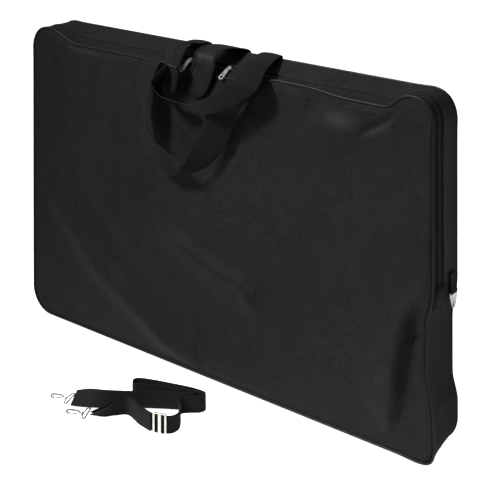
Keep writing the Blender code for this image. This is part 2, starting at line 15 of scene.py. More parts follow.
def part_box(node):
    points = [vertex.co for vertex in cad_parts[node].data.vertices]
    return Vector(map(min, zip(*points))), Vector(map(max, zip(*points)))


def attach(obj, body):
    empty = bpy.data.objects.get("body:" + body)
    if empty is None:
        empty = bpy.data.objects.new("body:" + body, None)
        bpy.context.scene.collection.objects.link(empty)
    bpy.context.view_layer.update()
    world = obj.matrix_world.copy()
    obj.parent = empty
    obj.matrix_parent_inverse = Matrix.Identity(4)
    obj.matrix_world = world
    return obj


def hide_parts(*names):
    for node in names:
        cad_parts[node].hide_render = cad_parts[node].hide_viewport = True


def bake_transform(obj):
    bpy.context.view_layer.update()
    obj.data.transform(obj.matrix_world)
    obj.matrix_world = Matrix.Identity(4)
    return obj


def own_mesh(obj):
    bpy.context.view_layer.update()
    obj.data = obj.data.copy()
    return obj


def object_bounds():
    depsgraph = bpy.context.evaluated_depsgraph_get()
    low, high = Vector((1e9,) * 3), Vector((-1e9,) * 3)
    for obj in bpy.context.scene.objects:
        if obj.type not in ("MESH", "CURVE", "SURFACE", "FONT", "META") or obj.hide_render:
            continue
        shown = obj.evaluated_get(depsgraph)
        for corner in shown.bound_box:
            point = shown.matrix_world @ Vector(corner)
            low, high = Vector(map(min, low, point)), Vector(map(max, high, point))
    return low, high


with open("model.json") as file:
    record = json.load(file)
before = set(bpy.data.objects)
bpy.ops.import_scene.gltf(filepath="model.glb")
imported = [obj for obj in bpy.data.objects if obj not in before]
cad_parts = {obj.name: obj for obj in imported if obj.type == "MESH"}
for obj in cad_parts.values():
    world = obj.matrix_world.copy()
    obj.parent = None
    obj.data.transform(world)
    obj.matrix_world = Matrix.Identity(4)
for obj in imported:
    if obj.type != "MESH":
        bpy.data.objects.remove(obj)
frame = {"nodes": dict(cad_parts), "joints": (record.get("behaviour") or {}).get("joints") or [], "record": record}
CAD_BOX = [list(corner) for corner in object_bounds()]

# The case's size comes from the frame, and so does the height of the zip's two ends
CASE_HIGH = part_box("back_piping")[1]
HALF_L = CASE_HIGH.x
HEIGHT = CASE_HIGH.z
HALF_D = CASE_HIGH.y
CORNER = 0.068
JOINTS = {joint["name"]: joint for joint in frame["joints"]}
SLOTS = {row["node"]: row["material_slot"] for row in frame["record"]["subparts"]}
ZIP_END_Z = JOINTS["front_opening"]["pos_m"][2]
SEAM_Y = -0.009
PIPING_SEAT = 0.0035
PIPING_R = 0.0027
PANEL_EDGE = 0.0062
PANEL_Y = -0.0515
COIL_REAR_Y = (-0.0248, -0.0215)
COIL_FRONT_Y = (-0.0293, -0.0260)
COIL_INSET = 0.0024

# How the top edge sags between the corners, as in the frame
SAG = 0.024
SAG_ENDS = (-0.557, -0.450, 0.500, 0.557)
SAG_FULL_Y = -0.021
SAG_NONE_Y = 0.048
FRONT_SAG = 0.006
ZIP_FRONT_Y = -0.0305
GUSSET_Y = 0.0477
SAG_FADE = 0.26

ARC_STEPS = 18
STEP = 0.010


# Small maths


def eased(t):
    """0 to 1 with level ends."""
    t = min(max(t, 0.0), 1.0)
    return t * t * (3 - 2 * t)


def bump(t, middle, width):
    """A smooth hill of height 1 at the middle."""
    return math.exp(-(((t - middle) / width) ** 2))


def ripple(x, y, z, size, seed=0.0):
    """Smooth noise from about -1 to 1, with hills about that size."""
    return noise.noise(Vector((x / size + seed, y / size - seed, z / size + 2 * seed)))


def to_segment(px, pz, a, b):
    """Distance from a point to a segment, and how far along it the nearest point is."""
    dx, dz = b[0] - a[0], b[1] - a[1]
    length2 = dx * dx + dz * dz
    t = min(max(((px - a[0]) * dx + (pz - a[1]) * dz) / length2, 0.0), 1.0)
    return math.hypot(px - a[0] - t * dx, pz - a[1] - t * dz), t


def fold(x, z, line, width):
    """1 on a line of points and fading to nothing at that width, and towards the line's two ends."""
    best, place = 9.0, 0.0
    count = len(line) - 1
    for k in range(count):
        distance, t = to_segment(x, z, line[k], line[k + 1])
        if distance < best:
            best, place = distance, (k + t) / count
    if best > 3 * width:
        return 0.0
    ends = eased(place / 0.25) * eased((1 - place) / 0.25)
    return math.exp(-((best / width) ** 2)) * (0.15 + 0.85 * ends)


# The shape of the case


def forward(y):
    """0 at the back panel and 1 at the front."""
    return min(max((HALF_D - y) / (2 * HALF_D), 0.0), 1.0)


def sag(x, y):
    """How far the top edge hangs below a straight line, and lower still in front under the pulls."""
    left, left_full, right_full, right = SAG_ENDS
    along = eased((x - left) / (left_full - left)) * eased((right - x) / (right - right_full))
    across = min(max((SAG_NONE_Y - y) / (SAG_NONE_Y - SAG_FULL_Y), 0), 1)
    before_zip = min(max((ZIP_FRONT_Y - y) / (ZIP_FRONT_Y + GUSSET_Y), 0), 1)
    lift = 0.010 * eased((x - 0.12) / 0.10) * eased((0.42 - x) / 0.14) * before_zip
    pressed = 0.0085 * eased((x + 0.155) / 0.06) * eased((0.125 - x) / 0.06) * before_zip
    return along * (SAG * across + FRONT_SAG * before_zip) - lift + pressed


def pinch(y, z):
    """How far the right side is drawn in below the zip."""
    front = 0.0160 * eased((0.370 - z) / 0.075) * eased((z - 0.100) / 0.110)
    back = 0.0125 * eased((0.372 - z) / 0.090) * eased((z - 0.105) / 0.060)
    f = forward(y)
    return f * front + (1 - f) * back


def corner_ear(x, y, z):
    """How far the case's two upper corners stand out."""
    f = forward(y)
    right = bump(math.hypot(x - 0.592, z - 0.752), 0, 0.040) * (0.006 + 0.006 * f)
    left = bump(math.hypot(x + 0.597, z - 0.752), 0, 0.040) * 0.005
    return right + left


def squared_corner(x, y, z):
    """How far the front's lower right corner is pushed out, which makes it less round."""
    return 0.0125 * bump(math.hypot(x - 0.607, z - 0.018), 0, 0.036) * forward(y)


def settle(x, y, z):
    """The straight form's point, moved to where the soft case has it."""
    fade = eased((z - (HEIGHT - SAG_FADE)) / (SAG_FADE - 0.012))
    drop = sag(x, y) * fade
    draw_in = pinch(y, z) * eased((x - 0.40) / 0.20)
    out = corner_ear(x, y, z)
    square = squared_corner(x, y, z)
    side = 1 if x > 0 else -1
    return Vector((x - draw_in + side * out * 0.6 + square, y, z - drop + out * 0.8 - square))


def stations(part):
    """Places round the case's edge, as (x, z, outward x, outward z, run): 'upper', 'lower' or 'whole'."""
    cx, top, low = HALF_L - CORNER, HEIGHT - CORNER, CORNER
    corners = {
        "upper": [(cx, top, 0), (-cx, top, 90)],
        "lower": [(-cx, low, 180), (cx, low, 270)],
        "whole": [(cx, top, 0), (-cx, top, 90), (-cx, low, 180), (cx, low, 270)],
    }[part]
    points = []
    for x, z, start in corners:
        for k in range(ARC_STEPS + 1):
            a = math.radians(start + 90 * k / ARC_STEPS)
            points.append((x + CORNER * math.cos(a), z + CORNER * math.sin(a), math.cos(a), math.sin(a)))
    if part == "upper":
        points = [(HALF_L, ZIP_END_Z, 1, 0), *points, (-HALF_L, ZIP_END_Z, -1, 0)]
    elif part == "lower":
        points = [(-HALF_L, ZIP_END_Z, -1, 0), *points, (HALF_L, ZIP_END_Z, 1, 0)]
    else:
        points.append(points[0])
    out, run = [], 0.0
    for a, b in zip(points, points[1:]):
        length = math.hypot(b[0] - a[0], b[1] - a[1])
        count = max(1, round(length / STEP))
        for k in range(count):
            t = k / count
            out.append((*[p + (q - p) * t for p, q in zip(a, b)], run + length * t))
        run += length
    if part != "whole":
        out.append((*points[-1], run))
    return out


def piping_centre(x, z, nx, nz, y):
    """The middle of the piping at that place on the edge."""
    return settle(x - nx * PIPING_SEAT, y, z - nz * PIPING_SEAT)


# Mesh helpers


def make_object(name, verts, faces, uvs, sharp=None):
    """A mesh object. uvs holds one (along, across) pair in metres for each vertex."""
    mesh = bpy.data.meshes.new(name)
    mesh.from_pydata([tuple(v) for v in verts], [], faces)
    mesh.validate()
    layer = mesh.uv_layers.new(name="cloth")
    for loop in mesh.loops:
        layer.data[loop.index].uv = uvs[loop.vertex_index]
    mesh.shade_smooth()
    if sharp:
        mesh.set_sharp_from_angle(angle=math.radians(sharp))
    thing = bpy.data.objects.new(name, mesh)
    bpy.context.scene.collection.objects.link(thing)
    return thing


def tube_mesh(name, rings, uv_rings, closed, sharp=None):
    """A closed skin through equal rings of points, with flat ends unless it joins up."""
    verts, uvs, faces = [], [], []
    n = len(rings[0])
    for ring, uv_ring in zip(rings, uv_rings):
        verts += ring
        uvs += uv_ring
    count = len(rings)
    for i in range(count if closed else count - 1):
        a, b = i * n, ((i + 1) % count) * n
        for k in range(n):
            j = (k + 1) % n
            faces.append((a + k, a + j, b + j, b + k))
    if not closed:
        faces.append(tuple(range(n))[::-1])
        faces.append(tuple(range((count - 1) * n, count * n)))
    thing = make_object(name, verts, faces, uvs, sharp=sharp)
    outward(thing)
    return thing


def two_skins(name, verts, uvs, rows, columns):
    """Two equal grids of points, one behind the other, joined round their edge."""
    width = columns + 1
    base = rows * width
    faces = []
    for i in range(rows - 1):
        for k in range(columns):
            a, b = i * width + k, i * width + k + 1
            c, d = b + width, a + width
            faces.append((a, b, c, d))
            faces.append((base + d, base + c, base + b, base + a))
    rim = list(range(width))
    rim += [i * width + columns for i in range(1, rows)]
    rim += [(rows - 1) * width + k for k in range(columns - 1, -1, -1)]
    rim += [i * width for i in range(rows - 2, 0, -1)]
    for a, b in zip(rim, rim[1:] + rim[:1]):
        faces.append((a, base + a, base + b, b))
    thing = make_object(name, verts, faces, uvs)
    outward(thing)
    return thing


def outward(thing):
    """Makes all faces point out."""
    bm = bmesh.new()
    bm.from_mesh(thing.data)
    bmesh.ops.recalc_face_normals(bm, faces=bm.faces)
    bm.to_mesh(thing.data)
    bm.free()


def finish_piece(thing, look, body=None, replaces=()):
    """Gives a piece its material, its body and the nodes that it stands for."""
    thing.data.materials.clear()
    thing.data.materials.append(look)
    if body:
        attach(thing, body)
    if replaces:
        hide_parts(*replaces)
    return thing


def bend_open(thing):
    """Bakes a piece's transform into its mesh."""
    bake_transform(thing)


def flatten_up(thing):
    """Gives a piece that lies over the zip a mesh of its own."""
    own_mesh(thing)


# Materials, all from nodes


def new_material(name):
    made = bpy.data.materials.new(name)
    made.use_nodes = True
    return made, made.node_tree, made.node_tree.nodes["Principled BSDF"]


def node(tree, kind, inputs=(), **settings):
    """A shader node, with its settings and its inputs: values or other nodes' sockets."""
    made = tree.nodes.new(kind)
    for key, value in settings.items():
        setattr(made, key, value)
    for socket, value in dict(inputs).items():
        if isinstance(value, bpy.types.NodeSocket):
            tree.links.new(value, made.inputs[socket])
        else:
            made.inputs[socket].default_value = value
    return made


def maths(tree, operation, a, b=0.0):
    return node(tree, "ShaderNodeMath", {0: a, 1: b}, operation=operation).outputs[0]


def remap(tree, value, low, high, to_low, to_high):
    return node(
        tree, "ShaderNodeMapRange", {0: value, 1: low, 2: high, 3: to_low, 4: to_high}
    ).outputs[0]


def place_of(tree):
    """The place in the object's own space."""
    return node(tree, "ShaderNodeTexCoord").outputs["Object"]


def cloth_axes(tree):
    """The cloth's own (along, across) in metres."""
    uv = node(tree, "ShaderNodeUVMap", uv_map="cloth")
    split = node(tree, "ShaderNodeSeparateXYZ", {0: uv.outputs[0]})
    return split.outputs[0], split.outputs[1]


def plain_weave(tree, along, across, pitch_a, pitch_b):
    """Height of a plain weave: warp and weft take turns on top."""
    a = maths(tree, "SINE", maths(tree, "MULTIPLY", along, math.pi / pitch_a))
    b = maths(tree, "SINE", maths(tree, "MULTIPLY", across, math.pi / pitch_b))
    weft_on_top = maths(tree, "GREATER_THAN", maths(tree, "MULTIPLY", a, b), 0.0)
    heights = {0: weft_on_top, 2: maths(tree, "ABSOLUTE", a), 3: maths(tree, "ABSOLUTE", b)}
    return node(tree, "ShaderNodeMix", heights, data_type="FLOAT").outputs[0]


def noise_tex(tree, vector, scale, detail=3.0, rough=0.55):
    return node(
        tree, "ShaderNodeTexNoise", {"Vector": vector, "Scale": scale, "Detail": detail, "Roughness": rough}
    ).outputs[0]


def colour_ramp(tree, value, *stops):
    """A colour ramp through (place, (r, g, b)) stops."""
    ramp = node(tree, "ShaderNodeValToRGB", {0: value})
    line = ramp.color_ramp
    line.elements[0].position, line.elements[0].color = stops[0][0], (*stops[0][1], 1)
    line.elements[1].position, line.elements[1].color = stops[-1][0], (*stops[-1][1], 1)
    for place, colour in stops[1:-1]:
        line.elements.new(place).color = (*colour, 1)
    return ramp.outputs[0]


def bumped(tree, height, distance, strength=1.0, under=None):
    inputs = {"Height": height, "Distance": distance, "Strength": strength}
    if under is not None:
        inputs["Normal"] = under
    return node(tree, "ShaderNodeBump", inputs).outputs[0]


def wire(tree, shader, colour, roughness, normal):
    """Links a material's colour, roughness and normal."""
    for name, socket in (("Base Color", colour), ("Roughness", roughness), ("Normal", normal)):
        tree.links.new(socket, shader.inputs[name])


def soft_shine(shader, specular, sheen, rough, tint):
    """A cloth's weak reflection and its sheen."""
    shader.inputs["Specular IOR Level"].default_value = specular
    shader.inputs["Sheen Weight"].default_value = sheen
    shader.inputs["Sheen Roughness"].default_value = rough
    shader.inputs["Sheen Tint"].default_value = (*tint, 1)


def stitch_mask(tree, along, across, rows, pitch=0.0042, thread=0.00055):
    """1 on the stitches of rows sewn at those distances across the cloth."""
    phase = maths(tree, "PINGPONG", along, pitch)
    dash = maths(tree, "GREATER_THAN", phase, pitch * 0.28)
    total = None
    for row in rows:
        near = node(tree, "ShaderNodeMath", {0: across, 1: row, 2: thread}, operation="COMPARE").outputs[0]
        total = near if total is None else maths(tree, "MAXIMUM", total, near)
    return maths(tree, "MULTIPLY", total, dash)


def coated_cloth(name, tint=(1.0, 1.0, 1.0), level=1.0, rough=0.56):
    """Black coated polyester: a fine plain weave, slightly uneven in colour, with a soft gloss."""
    made, tree, shader = new_material(name)
    place = place_of(tree)
    weave = plain_weave(tree, *cloth_axes(tree), 0.00085, 0.00075)
    broad = noise_tex(tree, place, 5.0, 2.0)
    fine = noise_tex(tree, place, 900.0, 2.0)
    slub = noise_tex(tree, place, 230.0, 3.0)
    cloud = noise_tex(tree, place, 26.0, 4.0)
    dark = tuple(0.0030 * level * t for t in tint)
    light = tuple(0.0098 * level * t for t in tint)
    tone = maths(tree, "ADD", maths(tree, "MULTIPLY", broad, 0.45), maths(tree, "MULTIPLY", weave, 0.40))
    tone = maths(tree, "ADD", tone, remap(tree, slub, 0.25, 0.75, -0.40, 0.50))
    tone = maths(tree, "ADD", tone, remap(tree, cloud, 0.25, 0.75, -0.10, 0.10))
    colour = colour_ramp(tree, tone, (0.25, dark), (0.85, light))
    gloss = remap(tree, broad, 0.3, 0.7, rough - 0.04, rough + 0.05)
    gloss = maths(tree, "ADD", gloss, maths(tree, "MULTIPLY", fine, 0.06))
    first = bumped(tree, cloud, 0.0030, 0.30)
    second = bumped(tree, slub, 0.0009, 0.65, first)
    wire(tree, shader, colour, gloss, bumped(tree, weave, 0.00012, 0.55, second))
    soft_shine(shader, 0.10, 0.004, 0.45, (0.75, 0.80, 0.90))
    return made


WEBBING_ROUGH = 0.78


def webbing(name, width, colour, rows=(), pitch=0.0016):
    """Woven black webbing: ribs across it, a painted highlight along both edges, and sewn rows if it has any."""
    made, tree, shader = new_material(name)
    along, across = cloth_axes(tree)
    place = place_of(tree)
    weave = plain_weave(tree, along, across, pitch * 0.62, pitch)
    slub = noise_tex(tree, place, 240.0, 3.0)
    wear = noise_tex(tree, place, 26.0, 4.0)
    off_middle = maths(tree, "ABSOLUTE", maths(tree, "SUBTRACT", across, width / 2))
    edge = maths(tree, "MULTIPLY", off_middle, 2 / width)
    # Painted highlight: rim lightens the colour along both edges of the webbing, as where light catches its
    # rounded edges
    rim = remap(tree, edge, 0.93, 1.0, 0.0, 1.0)
    tone = maths(tree, "ADD", maths(tree, "MULTIPLY", weave, 0.5), maths(tree, "MULTIPLY", slub, 0.35))
    tone = maths(tree, "ADD", tone, maths(tree, "MULTIPLY", rim, 0.25))
    tone = maths(tree, "ADD", tone, remap(tree, wear, 0.5, 0.8, 0.0, 0.12))
    height = weave
    if rows:
        sewn = stitch_mask(tree, along, across, rows)
        tone = maths(tree, "ADD", tone, maths(tree, "MULTIPLY", sewn, 0.45))
        height = maths(tree, "ADD", weave, maths(tree, "MULTIPLY", sewn, 1.6))
    dark = tuple(c * 0.30 for c in colour)
    light = tuple(c * 1.15 for c in colour)
    colour = colour_ramp(tree, tone, (0.15, dark), (1.0, light))
    gloss = remap(tree, slub, 0.3, 0.7, WEBBING_ROUGH - 0.06, WEBBING_ROUGH + 0.06)
    first = bumped(tree, slub, 0.0003, 0.6)
    wire(tree, shader, colour, gloss, bumped(tree, height, 0.00028, 0.9, first))
    soft_shine(shader, 0.08, 0.014, 0.40, (0.80, 0.76, 0.86))
    return made


def piping_look(name):
    """Smooth blue-black vinyl piping with a low gloss and faint creases across it."""
    made, tree, shader = new_material(name)
    place = place_of(tree)
    marks = noise_tex(tree, place, 120.0, 4.0)
    creases = noise_tex(tree, place, 420.0, 2.0)
    colour = colour_ramp(tree, marks, (0.3, (0.0035, 0.0040, 0.0065)), (0.75, (0.0080, 0.0088, 0.0135)))
    gloss = remap(tree, marks, 0.3, 0.7, 0.36, 0.50)
    wire(tree, shader, colour, gloss, bumped(tree, creases, 0.0002, 0.35))
    shader.inputs["Specular IOR Level"].default_value = 0.12
    return made


def speckled_look(name, scale, dark, light, rough, height, strength, specular):
    """A dark surface whose colour, roughness and relief all come from one fine noise."""
    made, tree, shader = new_material(name)
    marks = noise_tex(tree, place_of(tree), scale, 3.0)
    colour = colour_ramp(tree, marks, (0.3, dark), (0.7, light))
    wire(tree, shader, colour, remap(tree, marks, 0.3, 0.7, *rough), bumped(tree, marks, height, strength))
    shader.inputs["Specular IOR Level"].default_value = specular
    return made


NICKEL_ROUGH = 0.20


def nickel_look(name):
    """Nickel plate with fine scratches and slightly uneven polish."""
    made, tree, shader = new_material(name)
    place = place_of(tree)
    stretched = node(tree, "ShaderNodeMapping", {0: place, 3: (60.0, 900.0, 300.0)}).outputs[0]
    scratches = noise_tex(tree, stretched, 3.0, 3.0)
    cloudy = noise_tex(tree, place, 90.0, 3.0)
    colour = colour_ramp(tree, cloudy, (0.3, (0.62, 0.60, 0.565)), (0.7, (0.80, 0.78, 0.74)))
    gloss = remap(tree, cloudy, 0.3, 0.7, NICKEL_ROUGH - 0.05, NICKEL_ROUGH + 0.07)
    gloss = maths(tree, "ADD", gloss, remap(tree, scratches, 0.5, 0.8, 0.0, 0.10))
    wire(tree, shader, colour, gloss, bumped(tree, scratches, 0.00006, 0.35))
    shader.inputs["Metallic"].default_value = 1.0
    return made


HANDLE_WIDTH = 0.060
STRAP_WIDTH = 0.040
SEWN_IN = 0.0035
LOOKS = {
    "panel": coated_cloth("front_cloth"),
    "gusset": coated_cloth("gusset_cloth", tint=(1.0, 1.04, 1.08), level=1.05, rough=0.60),
    "handle": webbing(
        "handle_webbing", HANDLE_WIDTH, (0.0088, 0.0078, 0.0096), (SEWN_IN, HANDLE_WIDTH - SEWN_IN)
    ),
    "strap": webbing("strap_webbing", STRAP_WIDTH, (0.0190, 0.0172, 0.0186), pitch=0.0014),
    "tape": webbing("zip_tape_weave", 0.020, (0.0105, 0.0098, 0.0100), pitch=0.0011),
    "binding": webbing("binding_weave", 0.018, (0.0068, 0.0072, 0.0105), (0.0072,), 0.0010),
    "ring_web": webbing("ring_webbing", 0.025, (0.0110, 0.0105, 0.0110), (0.002, 0.023)),
    "tab": webbing("zip_tab_cloth", 0.040, (0.0085, 0.0070, 0.0072), pitch=0.0012),
    "piping": piping_look("piping_vinyl"),
    "coil": speckled_look(
        "zip_coil_nylon", 300.0, (0.006, 0.006, 0.0065), (0.017, 0.016, 0.018),
        rough=(0.30, 0.42), height=0.0001, strength=0.3, specular=0.20,
    ),
    "nickel": nickel_look("nickel_plate"),
    "nap": speckled_look(
        "hook_and_loop", 1500.0, (0.006, 0.006, 0.006), (0.022, 0.022, 0.022),
        rough=(0.85, 0.97), height=0.0006, strength=0.8, specular=0.05,
    ),
}


# The camera, the light and the floor


def look_from(place, azimuth, roll):
    """The matrix of a level camera. Azimuth 0 looks along +Y, and both angles are in radians."""
    ahead = Vector((math.sin(azimuth), math.cos(azimuth), 0))
    right = ahead.cross(Vector((0, 0, 1))).normalized()
    up = right.cross(ahead)
    tilted = right * math.cos(roll) + up * math.sin(roll)
    turned_up = tilted.cross(ahead)
    spin = Matrix((tilted, turned_up, -ahead)).transposed().to_4x4()
    return Matrix.Translation(place) @ spin


# How much the view slants down for each metre ahead
VIEW_SLANT = 0.392
CAMERA_PLACE = (1.8973, -2.3170, 1.4954)
CAMERA_AZIMUTH = -0.6621
CAMERA_ROLL = -0.0013
CAMERA_LENS = 93.92


def make_camera():
    """A level camera whose view slants down, so that upright edges stay upright in the picture.

    The slant is in the link to the camera's stand, and without the stand it is a plain camera.
    """
    lens = bpy.data.cameras.new("camera")
    lens.sensor_width = 36.0
    lens.lens = CAMERA_LENS
    lens.clip_end = 50
    camera = bpy.data.objects.new("camera", lens)
    stand = bpy.data.objects.new("camera_stand", None)
    for thing in (stand, camera):
        bpy.context.scene.collection.objects.link(thing)
    level = look_from(CAMERA_PLACE, CAMERA_AZIMUTH, CAMERA_ROLL)
    slanted = level.copy()
    backward = (level.col[2].to_3d() + level.col[1].to_3d() * VIEW_SLANT).normalized()
    slanted.col[2] = (*backward, 0.0)
    camera.parent = stand
    camera.matrix_parent_inverse = slanted
    bpy.context.scene.camera = camera


def area_light(name, place, target, size, power, colour, spread=180.0):
    """A round lamp that points at the target. spread is in degrees."""
    data = bpy.data.lights.new(name, "AREA")
    data.shape = "DISK"
    data.size = size
    data.energy = power
    data.color = colour
    data.spread = math.radians(spread)
    lamp = bpy.data.objects.new(name, data)
    lamp.location = place
    lamp.rotation_euler = (Vector(target) - Vector(place)).to_track_quat("-Z", "Y").to_euler()
    bpy.context.scene.collection.objects.link(lamp)


# How bright the surroundings are for everything but the camera, which sees them white
FILL = 0.28


def make_studio():
    """White surroundings, a key light from the upper left, a weak one from the right, and a pale floor."""
    world = bpy.data.worlds.new("studio")
    world.use_nodes = True
    tree = world.node_tree
    background = tree.nodes["Background"]
    seen = node(tree, "ShaderNodeLightPath").outputs["Is Camera Ray"]
    level = remap(tree, seen, 0.0, 1.0, FILL, 1.0)
    hues = {0: seen, 6: (0.84, 0.92, 1.0, 1), 7: (1, 1, 1, 1)}
    hue = node(tree, "ShaderNodeMix", hues, data_type="RGBA")
    tree.links.new(hue.outputs[2], background.inputs[0])
    tree.links.new(level, background.inputs[1])
    bpy.context.scene.world = world
    warm, cool = (1.0, 0.985, 0.955), (0.94, 0.97, 1.0)
    area_light("key", (-1.5, -2.9, 3.9), (0.42, 0.0, 0.48), size=0.9, power=29.0, colour=warm, spread=42.0)
    area_light("side", (2.9, 0.4, 1.7), (0.4, 0.0, 0.40), size=1.4, power=15.0, colour=cool)
    bpy.ops.mesh.primitive_plane_add(size=24, location=(0, 0, CAD_BOX[0][2] - 0.0004))
    floor = bpy.context.object
    floor.name = "floor"
    made, tree, shader = new_material("floor_white")
    grain = noise_tex(tree, place_of(tree), 8.0)
    pale = colour_ramp(tree, grain, (0.2, (0.90, 0.90, 0.90)), (0.8, (0.92, 0.92, 0.92)))
    tree.links.new(pale, shader.inputs["Base Color"])
    shader.inputs["Roughness"].default_value = 0.9
    shader.inputs["Emission Color"].default_value = (1, 1, 1, 1)
    seen = node(tree, "ShaderNodeLightPath").outputs["Is Camera Ray"]
    tree.links.new(remap(tree, seen, 0.0, 1.0, 0.10, 1.0), shader.inputs["Emission Strength"])
    floor.data.materials.append(made)


# The cloth shell

# Folds of the front cloth: a line of (x, z) points, how wide the fold is and how far it stands out
FOLDS = (
    ([(-0.570, 0.346), (-0.364, 0.180), (-0.133, 0.054), (-0.003, 0.029)], 0.036, 0.0165),
    ([(-0.211, 0.343), (-0.022, 0.282), (0.112, 0.253), (0.172, 0.197)], 0.028, 0.0150),
    ([(-0.500, 0.520), (-0.330, 0.330), (-0.120, 0.180)], 0.034, 0.0085),
    ([(-0.040, 0.075), (-0.022, 0.045), (0.003, 0.016)], 0.006, -0.0022),
    ([(0.555, 0.090), (0.568, 0.190), (0.583, 0.265), (0.602, 0.345)], 0.015, -0.0100),
    ([(0.607, 0.274), (0.590, 0.262), (0.568, 0.252)], 0.007, -0.0065),
    ([(0.440, 0.700), (0.480, 0.728), (0.530, 0.758)], 0.011, -0.0075),
    ([(0.300, 0.752), (0.304, 0.728), (0.318, 0.690)], 0.010, -0.0045),
    ([(-0.530, 0.720), (-0.505, 0.650), (-0.465, 0.560)], 0.024, -0.0048),
    ([(-0.600, 0.075), (-0.585, 0.050), (-0.560, 0.030)], 0.006, -0.0020),
    ([(0.560, 0.640), (0.585, 0.560), (0.592, 0.450)], 0.020, -0.0030),
)
CREST = {"at": (0.385, 0.700), "size": (0.060, 0.034), "height": 0.0150}


def pulled_ridge(x, z):
    """The long ridge beside the pinch: a wide gentle side to the left and a steep one to the right."""
    left = 0.505 + 0.24 * (z - 0.03) - x
    profile = eased(1 - left / 0.095) if left > 0 else eased(1 + left / 0.022)
    return 0.0185 * profile * eased((z - 0.015) / 0.09) * eased((0.370 - z) / 0.10)


def cloth_relief(x, z):
    """How far the front cloth stands out of its plane."""
    out = sum(height * fold(x, z, line, width) for line, width, height in FOLDS)
    out += pulled_ridge(x, z)
    cx, cz = CREST["at"]
    sx, sz = CREST["size"]
    out += CREST["height"] * math.exp(-(((x - cx) / sx) ** 2) - ((z - cz) / sz) ** 2)
    out += 0.0042 * ripple(x, 0, z, 0.26, 3.0) + 0.0011 * ripple(x, 0, z, 0.055, 7.0)
    out += 0.0034 * ripple(x * 0.6 + z * 0.8, 0, (z - x) * 0.35, 0.12, 11.0)
    out += 0.0016 * ripple(x * 0.7 + z * 0.7, 0, (z - x) * 0.5, 0.045, 15.0)
    return out


def panel_half(z, inset):
    """Half the width of the rounded rectangle at a height."""
    r = CORNER - inset
    reach = HALF_L - CORNER
    over = max(abs(z - HEIGHT / 2) - (HEIGHT / 2 - CORNER), 0.0)
    return reach + math.sqrt(max(r * r - over * over, 0.0))


def panel_rows(inset):
    """Heights of the panel's rows, close together where the corners curve."""
    r = CORNER - inset
    low = [CORNER - r * math.cos(math.radians(90 * k / ARC_STEPS)) for k in range(ARC_STEPS)]
    low[0] = inset
    count = 74
    middle = [CORNER + (HEIGHT - 2 * CORNER) * k / count for k in range(count + 1)]
    return low + middle + [HEIGHT - z for z in reversed(low)]


CLOTH_T = 0.0014


def make_panel(name, y, facing, relief, columns=210):
    """A cloth panel of the case: two skins a cloth's thickness apart, joined round the edge."""
    rows = panel_rows(PANEL_EDGE)
    verts, uvs = [], []
    for layer in (0, 1):
        for z in rows:
            half = panel_half(z, PANEL_EDGE)
            for k in range(columns + 1):
                t = 2 * k / columns - 1
                t = t * (1 - 0.12 * (1 - t * t))
                x = half * t
                edge = min(half - abs(x), z - PANEL_EDGE, HEIGHT - PANEL_EDGE - z)
                tucked = eased(edge / 0.020)
                near_seam = (1 - eased(edge / 0.05)) * eased(edge / 0.006)
                pucker = 0.0011 * ripple(x, 0, z, 0.028, 5.0) * near_seam
                out = relief(x, z) * tucked + pucker + 0.0012 * tucked
                p = settle(x, y, z)
                p.y += facing * (out - layer * CLOTH_T)
                verts.append(p)
                uvs.append((x, z))
    thing = two_skins(name, verts, uvs, len(rows), columns)
    return finish_piece(thing, LOOKS["panel"])


def front_relief(x, z):
    """The front's folds, held back where the closure flap lies on it."""
    flat = eased((abs(x + 0.025) - 0.075) / 0.05)
    flat = max(flat, eased((0.650 - z) / 0.05))
    return cloth_relief(x, z) * flat - 0.0012 * (1 - flat)


def back_relief(x, z):
    return 0.0022 * ripple(x, 4, z, 0.28, 2.0) + 0.0006 * ripple(x, 4, z, 0.06, 9.0)


def edge_strip(name, part, section, look, wobble=None):
    """A strip sewn round the case's edge. section is its closed outline, as (y, inset) points."""
    rings, uv_rings, widths = [], [], [0.0]
    for (ya, ia), (yb, ib) in zip(section, section[1:]):
        widths.append(widths[-1] + math.hypot(yb - ya, ib - ia))
    for x, z, nx, nz, run in stations(part):
        ring, uv_ring = [], []
        for (y, inset), width in zip(section, widths):
            depth = inset + (wobble(run, y, x, z) if wobble else 0.0)
            ring.append(settle(x - nx * depth, y, z - nz * depth))
            uv_ring.append((run, width))
        rings.append(ring)
        uv_rings.append(uv_ring)
    thing = tube_mesh(name, rings, uv_rings, part == "whole", sharp=50)
    return finish_piece(thing, look)


def flat_section(low, high, inset, thickness, count, crown=0.0):
    """The closed outline of a thin strip, as (y, inset) points, hollowed by crown between its edges."""
    outer = []
    for k in range(count + 1):
        t = k / count
        outer.append((low + (high - low) * t, inset + crown * math.sin(math.pi * t)))
    return outer + [(y, i + thickness) for y, i in reversed(outer)]


def gusset_wobble(run, y, x, z):
    """Slack in the strip between the panels, with short creases beside the seams."""
    middle = 1 - abs(2 * forward(y) - 1)
    slack = 0.0016 * ripple(run, y, 0, 0.11, 1.0) * eased(middle / 0.4)
    creases = 0.0008 * ripple(run, y * 3, 0, 0.022, 6.0) * eased(middle / 0.15)
    buckled = 0.0020 * eased((ZIP_END_Z - z) / 0.05) * ripple(run, y, 0, 0.05, 4.0) * middle
    return slack + creases + buckled


